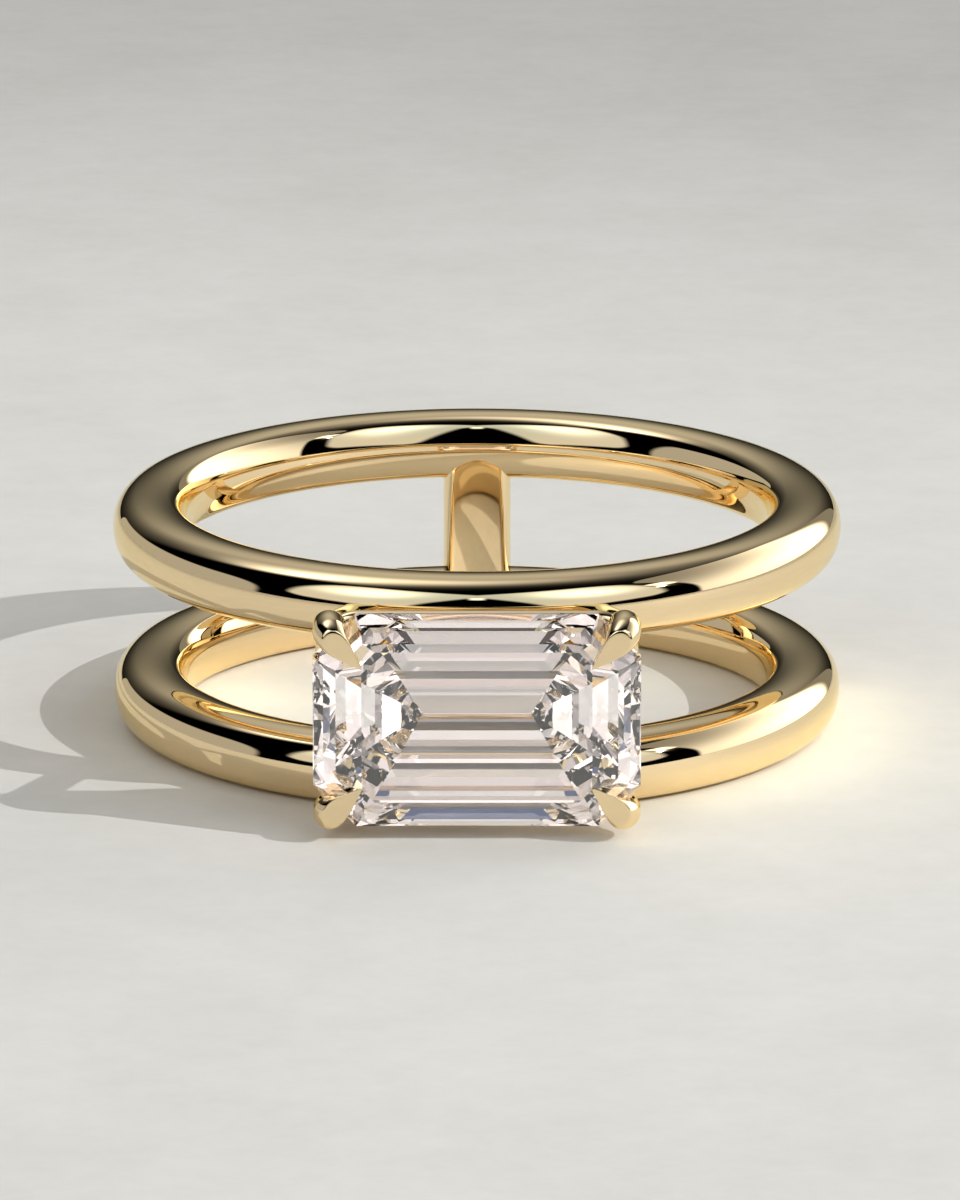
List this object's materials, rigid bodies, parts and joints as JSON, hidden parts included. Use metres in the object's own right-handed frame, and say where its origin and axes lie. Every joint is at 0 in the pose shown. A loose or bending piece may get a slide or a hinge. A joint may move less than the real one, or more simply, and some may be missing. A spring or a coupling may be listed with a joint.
{
  "type": "solitaire engagement ring",
  "caption": "Polished gold ring of parallel plain bands, with a clawed emerald-cut stone set lengthways across the finger.",
  "frame": {"origin": "centre of the finger hole, halfway between the two bands", "axes": "+Z along the finger hole's axis, upwards as the ring lies on its side; the stone faces -Y; X across, along the stone's long side"},
  "size_m": [0.02, 0.0228, 0.0066],
  "materials": {
    "gold": "mirror-polished pale yellow gold",
    "diamond": "clear, polished facets"
  },
  "bodies": {
    "root": {"ring_mount": "gold", "emerald_cut_stone": "diamond"}
  },
  "joints": []
}
